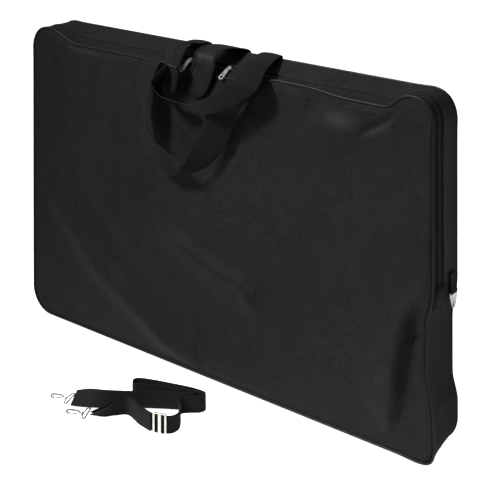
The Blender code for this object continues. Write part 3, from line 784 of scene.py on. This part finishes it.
def make_gusset():
    """The strip behind the zip, whose front edge is a folded and sewn hem, and the wide strip below it."""
    hem = [(-0.0006, 0.0024), (0.0, 0.0016), (0.0012, 0.0014), (0.0026, 0.0020)]
    hem = [(SEAM_Y + y, inset) for y, inset in hem]
    body = flat_section(SEAM_Y + 0.0040, GUSSET_Y + 0.001, 0.0026, 0.0016, 16, crown=0.0012)
    section = hem + body + [(SEAM_Y, 0.0040)]
    upper = edge_strip("gusset_behind_zip", "upper", section, LOOKS["gusset"], gusset_wobble)
    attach(upper, "case")
    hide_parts("gusset_upper")
    section = flat_section(-GUSSET_Y - 0.001, GUSSET_Y + 0.001, 0.0030, 0.0016, 30, crown=0.0016)
    lower = edge_strip("gusset_below_zip", "lower", section, LOOKS["gusset"], gusset_wobble)
    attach(lower, "case")
    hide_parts("gusset_lower")


def tape_section(low, high, depth, thickness, ribs, rib_height, dip=0.0):
    """A tape's closed outline. ribs holds each rib's (place, width), and the last part dips inwards."""
    outer = []
    for k in range(27):
        t = k / 26
        rib = max(bump(t, place, width) for place, width in ribs)
        outer.append((low + (high - low) * t, depth - rib_height * rib + dip * eased((t - 0.7) / 0.3)))
    return outer + [(y, i + thickness) for y, i in reversed(outer)]


def make_zip_tapes():
    """The two woven tapes, with raised ribs along them. The rear one goes under the hem."""
    low, high = -GUSSET_Y - 0.0012, COIL_FRONT_Y[0] + 0.0006
    ribs = ((0.30, 0.035), (0.62, 0.035), (0.90, 0.03))
    section = tape_section(low, high, 0.0036, 0.0012, ribs, 0.0011)
    front = edge_strip("zip_front_tape", "upper", section, LOOKS["tape"])
    bend_open(front)
    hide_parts("zip_tape_front")
    low, high = COIL_REAR_Y[1] - 0.0006, SEAM_Y + 0.003
    section = tape_section(low, high, 0.0034, 0.0010, ((0.12, 0.04), (0.50, 0.05)), 0.0009, dip=0.0010)
    back = edge_strip("zip_rear_tape", "upper", section, LOOKS["tape"])
    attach(back, "case")
    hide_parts("zip_tape_rear")


TOOTH_PITCH = 0.0021
TOOTH_HALF = 0.00062
TOOTH_SIDES = 6


def tooth_places(phase):
    """Where the teeth are along the zip, as (x, z, outward x, outward z)."""
    places = stations("upper")
    runs = [p[4] for p in places]
    out, i = [], 0
    for n in range(int(runs[-1] / TOOTH_PITCH)):
        run = (n + 0.5 + phase) * TOOTH_PITCH
        while i < len(runs) - 2 and runs[i + 1] < run:
            i += 1
        t = (run - runs[i]) / (runs[i + 1] - runs[i])
        out.append([a + (b - a) * t for a, b in zip(places[i][:4], places[i + 1][:4])])
    return out


def add_tooth(verts, faces, place, low, high):
    """Adds a tooth that reaches from low to high along Y and is thinner at both ends."""
    x, z, nx, nz = place
    start = len(verts)
    for y, size in ((low, 0.55), (low + 0.0006, 1.0), (high - 0.0006, 1.0), (high, 0.55)):
        for k in range(TOOTH_SIDES):
            a = math.tau * k / TOOTH_SIDES
            side = TOOTH_HALF * size * math.cos(a) * 1.25
            depth = COIL_INSET + 0.0009 - 0.0010 * size * math.sin(a)
            verts.append(settle(x - nx * depth - nz * side, y, z - nz * depth + nx * side))
    end = len(verts) - TOOTH_SIDES
    for ring in range(start, end, TOOTH_SIDES):
        for k in range(TOOTH_SIDES):
            a, b = ring + k, ring + (k + 1) % TOOTH_SIDES
            faces.append((a, b, b + TOOTH_SIDES, a + TOOTH_SIDES))
    faces.append(tuple(range(start, start + TOOTH_SIDES))[::-1])
    faces.append(tuple(range(end, end + TOOTH_SIDES)))


def make_coil(name, y_range, phase, node_name):
    """One half of the zip: a row of rounded teeth on a core, which meets the other half's row."""
    low, high = y_range
    verts, faces = [], []
    for place in tooth_places(phase):
        add_tooth(verts, faces, place, low, high)
    teeth = make_object(name, verts, faces, [(0.0, 0.0)] * len(verts))
    outward(teeth)
    finish_piece(teeth, LOOKS["coil"])
    section = flat_section(low + 0.0003, high - 0.0003, COIL_INSET + 0.0011, 0.0014, 3)
    core = edge_strip(name + "_core", "upper", section, LOOKS["tape"])
    for piece in (teeth, core):
        if node_name == "zip_coil_front":
            bend_open(piece)
        else:
            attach(piece, "case")
    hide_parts(node_name)


def make_piping_piece(name, y):
    """Round piping all round a seam, slightly uneven in thickness."""
    rings, uv_rings = [], []
    count = 14
    for x, z, nx, nz, run in stations("whole"):
        centre = piping_centre(x, z, nx, nz, y)
        ring, uv_ring = [], []
        swell = 1 + 0.05 * ripple(run, 0, 0, 0.016, y * 40)
        for k in range(count):
            a = math.tau * k / count
            out = PIPING_R * swell * math.cos(a)
            ring.append(centre + Vector((nx * out, PIPING_R * swell * math.sin(a), nz * out)))
            uv_ring.append((run, PIPING_R * a))
        rings.append(ring)
        uv_rings.append(uv_ring)
    thing = tube_mesh(name, rings, uv_rings, True)
    return finish_piece(thing, LOOKS["piping"])


TAB_BELOW = 0.044
TAB_ABOVE = 0.008


def make_end_tab(side, sign):
    """The cloth tab sewn over the zip's lower end, round at its top and bottom."""
    low_z, high_z = ZIP_END_Z - TAB_BELOW, ZIP_END_Z + TAB_ABOVE
    front, back = -GUSSET_Y + 0.0008, SEAM_Y + 0.0125
    radius = 0.012
    rows, columns = 20, 16
    verts, uvs = [], []
    for layer in (0, 1):
        for i in range(rows + 1):
            z = low_z + (high_z - low_z) * i / rows
            over = max(radius - (z - low_z), radius - (high_z - z), 0)
            shrink = radius - math.sqrt(max(radius**2 - over**2, 0))
            for k in range(columns + 1):
                t = k / columns
                y = front + shrink + (back - front - 2 * shrink) * t
                rim = min(t, 1 - t, i / rows, 1 - i / rows)
                puff = 0.0016 + 0.0030 * eased(rim / 0.16) + 0.0006 * ripple(y, 0, z, 0.012, 3.0)
                depth = 0.0024 - puff + layer * 0.0016 * eased(rim / 0.05)
                verts.append(settle(sign * (HALF_L - depth), y, z))
                uvs.append((z, y))
    tab = two_skins(f"zip_tab_{side}", verts, uvs, rows + 1, columns)
    finish_piece(tab, LOOKS["tab"], "case", [f"zip_end_tab_{side}"])


# Webbing


def smooth_line(points, steps):
    """A Catmull-Rom curve through the points, with that many steps between neighbours."""
    p = [np.array(q, float) for q in points]
    p = [2 * p[0] - p[1]] + p + [2 * p[-1] - p[-2]]
    line = []
    for i in range(1, len(p) - 2):
        a, b, c, d = p[i - 1], p[i], p[i + 1], p[i + 2]
        for k in range(steps):
            t = k / steps
            curve = (2 * a - 5 * b + 4 * c - d) * t**2 + (3 * b - a - 3 * c + d) * t**3
            line.append(0.5 * (2 * b + (c - a) * t + curve))
    line.append(p[-2])
    return line


def mm(*points):
    """Points given in millimetres, in metres."""
    return [tuple(c / 1000 for c in p) for p in points]


def band_between(name, a, b, thickness, columns=14, crown=0.0, crease=0.0, shift=0.0, seed=0.0, width=None):
    """A strip of webbing between two edge lines, with rounded edges, a slight crown and small creases."""
    middle = [(p + q) / 2 for p, q in zip(a, b)]
    rings, uv_rings, run = [], [], 0.0
    for i, (p, q) in enumerate(zip(a, b)):
        along = middle[min(i + 1, len(a) - 1)] - middle[max(i - 1, 0)]
        normal = np.cross(along, q - p)
        normal /= np.linalg.norm(normal) + 1e-12
        if i:
            run += float(np.linalg.norm(middle[i] - middle[i - 1]))
        across = width or float(np.linalg.norm(q - p))
        top, low, uv_top, uv_low = [], [], [], []
        for k in range(columns + 1):
            t = k / columns
            at = p + (q - p) * t
            lift = shift + crown * (1 - (2 * t - 1) ** 2)
            lift += crease * ripple(run, t * 0.05, seed, 0.030, seed + 1.5)
            half = thickness / 2 * (1.0 if 0 < k < columns else 0.45)
            top.append(Vector(at + normal * (lift + half)))
            low.append(Vector(at + normal * (lift - half)))
            uv_top.append((run, across * t))
            uv_low.append((run, across * t))
        rings.append(top + low[::-1])
        uv_rings.append(uv_top + uv_low[::-1])
    return tube_mesh(name, rings, uv_rings, False, sharp=60)


FRONT_HANDLE_OUTER = mm(
    (-190, -57, 741), (-192, -77, 750), (-200, -90, 695), (-200, -74, 640), (-191, -70, 592),
    (-186, -86, 556), (-150, -92, 513), (-96, -86, 483), (-58, -84, 487), (-4, -76, 510),
    (37, -74, 540), (64, -74, 573), (95, -76, 625), (114, -80, 668), (143, -86, 702),
    (170, -77, 742), (178, -57, 741),
)
FRONT_HANDLE_INNER = mm(
    (-130, -57, 741), (-132, -79, 750), (-142, -100, 704), (-149, -109, 646), (-154, -110, 606),
    (-131, -109, 570), (-99, -109, 555), (-64, -107, 541), (-33, -109, 528), (-15, -107, 553),
    (8, -106, 593), (18, -105, 613), (28, -104, 638), (48, -102, 682), (84, -99, 716),
    (111, -79, 745), (118, -57, 741),
)
BACK_HANDLE_OUTER = mm(
    (-140, 60, 764), (-138, 57, 783), (-142, 15, 783), (-134, -30, 786), (-120, -62, 784),
    (-112, -82, 764), (-112, -76, 738), (-118, -76, 712), (-132, -74, 688), (-120, -72, 666),
    (-80, -74, 662), (-38, -76, 658), (8, -104, 655), (66, -118, 669), (114, -112, 690),
    (152, -107, 712), (188, -98, 744), (180, -58, 774), (162, -5, 782), (145, 57, 784),
    (142, 60, 764),
)
BACK_HANDLE_INNER = mm(
    (-80, 60, 764), (-79, 57, 784), (-86, 20, 788), (-90, -28, 797), (-78, -82, 794),
    (-64, -112, 774), (-87, -119, 755), (-116, -120, 728), (-126, -119, 708), (-106, -117, 688),
    (-84, -117, 681), (-45, -117, 678), (-2, -119, 680), (36, -125, 696), (70, -127, 714),
    (108, -125, 744), (138, -112, 768), (126, -60, 790), (106, -5, 790), (90, 57, 784),
    (87, 60, 764),
)
HANDLE_T = 0.0024


def make_handles():
    """Two loops of wide webbing; the back one is attached to the back handle's body."""
    a, b = smooth_line(FRONT_HANDLE_OUTER, 9), smooth_line(FRONT_HANDLE_INNER, 9)
    front = band_between(
        "front_handle", a, b, HANDLE_T, crown=0.0016, crease=0.0011, seed=2.0, width=HANDLE_WIDTH
    )
    finish_piece(front, LOOKS["handle"], replaces=["front_handle_webbing"])
    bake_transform(front)
    a, b = smooth_line(BACK_HANDLE_OUTER, 9), smooth_line(BACK_HANDLE_INNER, 9)
    back = band_between(
        "back_handle", a, b, HANDLE_T, crown=0.0014, crease=0.0010, seed=5.0, width=HANDLE_WIDTH
    )
    finish_piece(back, LOOKS["handle"], "back_handle", ["back_handle_webbing"])
    flatten_up(back)


FLAP_LEFT = mm(
    (-19, 58, 764), (-22, 57, 782), (-32, 26, 792), (-38, -18, 797), (-38, -52, 789),
    (-37, -61.5, 772), (-45, -60, 752), (-59, -59, 729), (-67, -59, 715), (-76, -59, 700),
)
FLAP_RIGHT = mm(
    (49, 58, 764), (46, 57, 782), (36, 26, 791), (30, -18, 796), (30, -52, 786), (31, -61.5, 762),
    (15, -60, 718), (0, -59, 695), (-8, -59, 681), (-17, -59, 666),
)
FLAP_HALF = 0.034
BINDING = 0.009
FLAP_T = 0.0022


def flap_surface():
    """The flap's length, and a function that gives the place that far along and across it."""
    left, right = smooth_line(FLAP_LEFT, 10), smooth_line(FLAP_RIGHT, 10)
    middle = [(a + b) / 2 for a, b in zip(left, right)]
    run = np.concatenate([[0], np.cumsum([np.linalg.norm(q - p) for p, q in zip(middle, middle[1:])])])

    def at(s, v):
        i = min(int(np.searchsorted(run, s, "right")) - 1, len(run) - 2)
        t = (s - run[i]) / (run[i + 1] - run[i])
        a = left[i] * (1 - t) + left[i + 1] * t
        b = right[i] * (1 - t) + right[i + 1] * t
        c = (a + b) / 2
        return c + (b - c) / np.linalg.norm(b - c) * v

    return float(run[-1]), at


def make_flap_cloth(at, straight, centre):
    """The flap's cloth, which is round past the centre of its free end."""
    inner = FLAP_HALF - BINDING + 0.0015
    stops = straight + [centre + inner * math.sin(math.radians(a)) for a in range(6, 89, 6)]

    def half_at(s):
        over = s - centre
        return inner if over <= 0 else math.sqrt(max(inner * inner - over * over, 1e-9))

    cloth = band_between(
        "closure_flap_cloth", [at(s, -half_at(s)) for s in stops], [at(s, half_at(s)) for s in stops],
        FLAP_T - 0.0004, columns=16, crown=0.0008, crease=0.0005, seed=8.0,
    )
    return finish_piece(cloth, LOOKS["panel"], "closure_flap", ["closure_flap"])


def make_flap_tape(at, straight, centre):
    """The tape folded round the flap's two sides and its round end."""
    lines = []
    for r in (FLAP_HALF, FLAP_HALF - BINDING):
        line = [at(s, -r) for s in straight]
        for k in range(46):
            a = math.radians(180 - 4 * k)
            line.append(at(centre + r * math.sin(a), r * math.cos(a)))
        lines.append(line + [at(s, r) for s in reversed(straight)])
    tape = band_between(
        "closure_flap_tape", *lines, FLAP_T + 0.0008, columns=8, crown=0.0003, width=BINDING
    )
    return finish_piece(tape, LOOKS["binding"], "closure_flap", ["closure_flap_binding"])


def make_closure_flap():
    """The cloth flap over the zip, with a tape folded round its edge."""
    total, at = flap_surface()
    centre = total - FLAP_HALF
    straight = list(np.linspace(0, centre, 60))
    for make in (make_flap_cloth, make_flap_tape):
        flatten_up(make(at, straight, centre))


# The rings' webbing

RING_LOW, RING_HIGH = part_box("ring_loop_right")


def make_ring_loops():
    """The folded webbing that holds each ring, sewn to the case at its top."""
    y0, y1 = RING_LOW.y, RING_HIGH.y
    plate_low, plate_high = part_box("ring_plate_right")
    centre_x = (plate_low.x + plate_high.x) / 2
    hinge_z = JOINTS["right_ring_swing"]["pos_m"][2]
    thickness = 0.0014
    bend = 0.00265
    inner_x = centre_x - bend
    for side, sign in (("left", -1), ("right", 1)):
        route = [(inner_x, hinge_z + 0.042), (inner_x, hinge_z + 0.030), (inner_x, hinge_z + 0.014)]
        route += [
            (centre_x - bend * math.cos(math.radians(a)), hinge_z - bend * math.sin(math.radians(a)))
            for a in range(0, 181, 12)
        ]
        route += [(centre_x + bend - 0.0005, hinge_z + 0.006), (inner_x + 0.0024, hinge_z + 0.017)]
        route += [(inner_x + 0.0018, hinge_z + 0.030), (inner_x + 0.0018, hinge_z + 0.042)]
        a = [np.array((sign * x, y0, z)) for x, z in route]
        b = [np.array((sign * x, y1, z)) for x, z in route]
        a, b = smooth_line(a, 3), smooth_line(b, 3)
        loop = band_between(f"ring_webbing_{side}", a, b, thickness, columns=10, width=y1 - y0)
        finish_piece(loop, LOOKS["ring_web"], "case", [f"ring_loop_{side}"])


# The shoulder strap

STRAP_ROUTE = mm(
    (-176, -331), (-140, -319), (-104, -305), (-62, -276), (-10, -238), (40, -206), (66, -190),
    (74, -182), (70, -176), (50, -181), (0, -203), (-40, -222), (-68, -236), (-80, -233),
    (-84, -222), (-76, -212), (-50, -200), (0, -184), (50, -170), (84, -166), (92, -174),
    (86, -188), (66, -205), (58, -218), (66, -234), (88, -254), (97, -276), (88, -296), (52, -308),
    (10, -302), (-36, -289), (-60, -312), (-72, -334), (-98, -351),
)
LEAN = (0.75, 0.45, 0.12)
LEAN_ANGLE = 80
STRAP_FOOT = 0.0012
STRAP_T = 0.0018
DOUBLED_POINTS = 6
DOUBLED_SHIFT = -0.0052


def strap_edges(route, lean_start, lean_end):
    """The strap's two edge lines. It stands on one edge, and leans over towards its ends."""
    low, high = [], []
    last = len(route) - 1
    for i, (x, y) in enumerate(route):
        ax, ay = route[max(i - 1, 0)]
        bx, by = route[min(i + 1, last)]
        across = Vector((-(by - ay), bx - ax, 0)).normalized()
        from_start = lean_start[i] if i < len(lean_start) else 0
        from_end = lean_end[last - i] if last - i < len(lean_end) else 0
        lean = max(from_start, from_end)
        tilt = math.radians(LEAN_ANGLE) * lean
        foot = Vector((x, y, STRAP_FOOT)) - across * (STRAP_WIDTH / 2 * math.sin(tilt))
        rise = across * math.sin(tilt) + Vector((0, 0, 1)) * math.cos(tilt)
        low.append(foot)
        high.append(foot + rise * STRAP_WIDTH)
    return low, high


def make_strap():
    """The strap's webbing in its loose bundle, and the end that is doubled back through the buckle."""
    low, high = strap_edges(STRAP_ROUTE, LEAN, LEAN)
    strap = band_between(
        "strap_webbing", smooth_line(low, 8), smooth_line(high, 8), STRAP_T, columns=12,
        crease=0.0004, seed=1.0, width=STRAP_WIDTH,
    )
    finish_piece(strap, LOOKS["strap"], "shoulder_strap", ["shoulder_strap_webbing"])
    low, high = strap_edges(STRAP_ROUTE[len(STRAP_ROUTE) - DOUBLED_POINTS:], (), LEAN)
    doubled = band_between(
        "strap_doubled_webbing", smooth_line(low, 8), smooth_line(high, 8), STRAP_T, columns=12,
        shift=DOUBLED_SHIFT, width=STRAP_WIDTH,
    )
    finish_piece(doubled, LOOKS["strap"], "shoulder_strap", ["strap_doubled_end"])


# Metal parts. All but the zip pulls keep their CAD shape

PULL_LENGTH = 0.044
PULL_HALF = 0.0062
PULL_T = 0.0016
PULL_HOLE = 0.0031
PULL_TAPER = 0.62
PULL_ROOT = 0.004
PULL_ROUND = 48
# How far a pull droops, twists towards the right and leans to the left, in degrees
PULL_ANGLES = (37.0, 26.0, -12.0)


def pull_outline():
    """A pull's outline and its hole, as (along, across) points."""
    outline, hole = [], []
    middle = PULL_LENGTH - PULL_HALF
    for k in range(PULL_ROUND):
        a = math.tau * k / PULL_ROUND
        at_tip = math.cos(a) > 0
        centre = middle if at_tip else PULL_ROOT
        size = PULL_HALF * (1.0 if at_tip else PULL_TAPER)
        outline.append((centre + size * math.cos(a), size * math.sin(a)))
        hole.append((middle - 0.001 + PULL_HOLE * math.cos(a), PULL_HOLE * math.sin(a)))
    return outline, hole


def round_edges(thing):
    """Rounds a metal part's sharp edges."""
    rounded = thing.modifiers.new("rounded_edges", "BEVEL")
    rounded.width = 0.0003
    rounded.segments = 2
    rounded.limit_method = "ANGLE"
    return rounded


def make_pulls():
    """Long flat zip pulls, each with a hole, that hang over the front edge and lean to one side."""
    outline, hole = pull_outline()
    droop, twist, lean = (math.radians(a) for a in PULL_ANGLES)
    turn = Matrix.Rotation(lean, 3, "Z")
    turn = turn @ Matrix.Rotation(droop, 3, "X") @ Matrix.Rotation(twist, 3, "Y")
    for side in ("left", "right"):
        pivot = Vector(JOINTS[f"{side}_pull_swing"]["pos_m"]) + Vector((0, 0, 0.0012))
        verts, faces = [], []
        for height in (PULL_T / 2, -PULL_T / 2):
            for along, across in outline + hole:
                verts.append(pivot + turn @ Vector((across, -along, height)))
        n = PULL_ROUND
        for k in range(n):
            j = (k + 1) % n
            faces.append((k, j, n + j, n + k))
            faces.append((2 * n + k, 3 * n + k, 3 * n + j, 2 * n + j))
            faces.append((k, 2 * n + k, 2 * n + j, j))
            faces.append((n + k, n + j, 3 * n + j, 3 * n + k))
        pull = make_object(f"pull_{side}", verts, faces, [(0.0, 0.0)] * len(verts), sharp=40)
        outward(pull)
        finish_piece(pull, LOOKS["nickel"], f"zip_pull_{side}", [f"zip_pull_{side}"])
        round_edges(pull)


def polish_metal():
    """Gives the nickel parts their look, and rounds the edges of the flat ones."""
    flat_parts = ("zip_slider", "ring_plate", "slide_buckle")
    for name, thing in frame["nodes"].items():
        if SLOTS.get(name) != "nickel":
            continue
        finish_piece(thing, LOOKS["nickel"])
        if name.startswith(flat_parts):
            round_edges(thing).angle_limit = math.radians(35)


def dress_pads():
    """The two hook-and-loop pads keep their CAD shape."""
    for name in ("flap_hook_pad", "flap_loop_pad"):
        finish_piece(frame["nodes"][name], LOOKS["nap"])


make_camera()
make_studio()
front_panel = make_panel("front_panel", PANEL_Y, -1, front_relief)
bend_open(front_panel)
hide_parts("front_panel_lower", "front_panel_upper")
back = make_panel("back_cloth", -PANEL_Y, 1, back_relief, columns=120)
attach(back, "case")
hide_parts("back_panel")
make_gusset()
make_zip_tapes()
make_coil("zip_teeth_rear", COIL_REAR_Y, 0.0, "zip_coil_rear")
make_coil("zip_teeth_front", COIL_FRONT_Y, 0.5, "zip_coil_front")
front_cord = make_piping_piece("front_piping", PANEL_Y)
bend_open(front_cord)
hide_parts("front_piping_lower", "front_piping_upper")
back_cord = make_piping_piece("rear_piping", -PANEL_Y)
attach(back_cord, "case")
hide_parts("back_piping")
make_end_tab("left", -1)
make_end_tab("right", 1)
make_handles()
make_closure_flap()
make_ring_loops()
make_strap()
make_pulls()
polish_metal()
dress_pads()

bpy.context.scene.view_settings.view_transform = "Standard"
